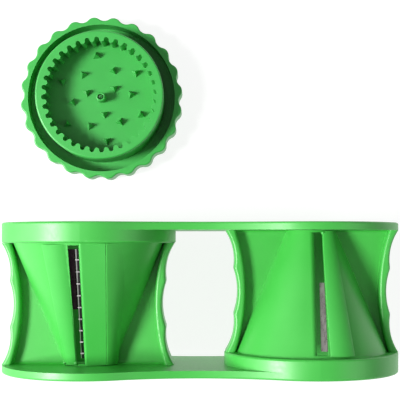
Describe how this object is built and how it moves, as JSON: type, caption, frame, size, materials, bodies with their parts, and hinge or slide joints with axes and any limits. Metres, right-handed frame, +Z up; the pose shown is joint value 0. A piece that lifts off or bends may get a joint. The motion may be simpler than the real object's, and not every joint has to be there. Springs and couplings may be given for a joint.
{
  "type": "handheld spiral slicer",
  "caption": "Handheld slicer body with two opposed cone funnels, each with a blade slot, between waisted plates, and a loose round spiked cap that holds the vegetable.",
  "frame": {"origin": "centre of the overall footprint on the surface the pieces lie on", "axes": "+X along the body from the left unit to the right unit, +Y along the cone axes towards the cap, +Z up"},
  "size_m": [0.1574, 0.1462, 0.069],
  "materials": {
    "body_green": "smooth satin gloss",
    "cover_green": "smooth satin gloss",
    "cap_green": "smooth satin gloss",
    "blade_steel": "ground and polished",
    "small_steel": "turned"
  },
  "bodies": {
    "slicer_body": {"upper_plate": "body_green", "lower_plate": "body_green", "left_funnel": "body_green", "right_funnel": "body_green", "left_outer_grip": "body_green", "left_inner_grip": "body_green", "right_outer_grip": "body_green", "right_inner_grip": "body_green", "left_blade_cover": "cover_green", "right_blade_cover": "cover_green", "left_julienne_carrier": "cover_green", "left_slicing_blade": "blade_steel", "right_slicing_blade": "blade_steel", "left_julienne_blade": "blade_steel", "left_blade_rivets": "small_steel", "right_blade_rivets": "small_steel", "left_julienne_rivets": "small_steel"},
    "cap_carrier": {"centre_pin": "small_steel"},
    "cap_sleeve": {"centre_boss": "cap_green"},
    "cap": {"cap_grip": "cap_green", "food_cup": "cap_green"}
  },
  "joints": [
    {"name": "cap_tip", "type": "hinge", "parent": "slicer_body", "child": "cap_carrier", "pos_m": [0.00183, 0.00566, 0.00474], "axis": [0.9983, -0.0411, 0.0411], "range_deg": [0, 90.1]},
    {"name": "cap_press", "type": "slide", "parent": "cap_carrier", "child": "cap_sleeve", "axis": [0, 0, 1], "range_m": [0, 0.0122]},
    {"name": "cap_spin", "type": "hinge", "parent": "cap_sleeve", "child": "cap", "pos_m": [-0.0416, 0.0391, 0], "axis": [0, 0, 1], "continuous": true}
  ]
}
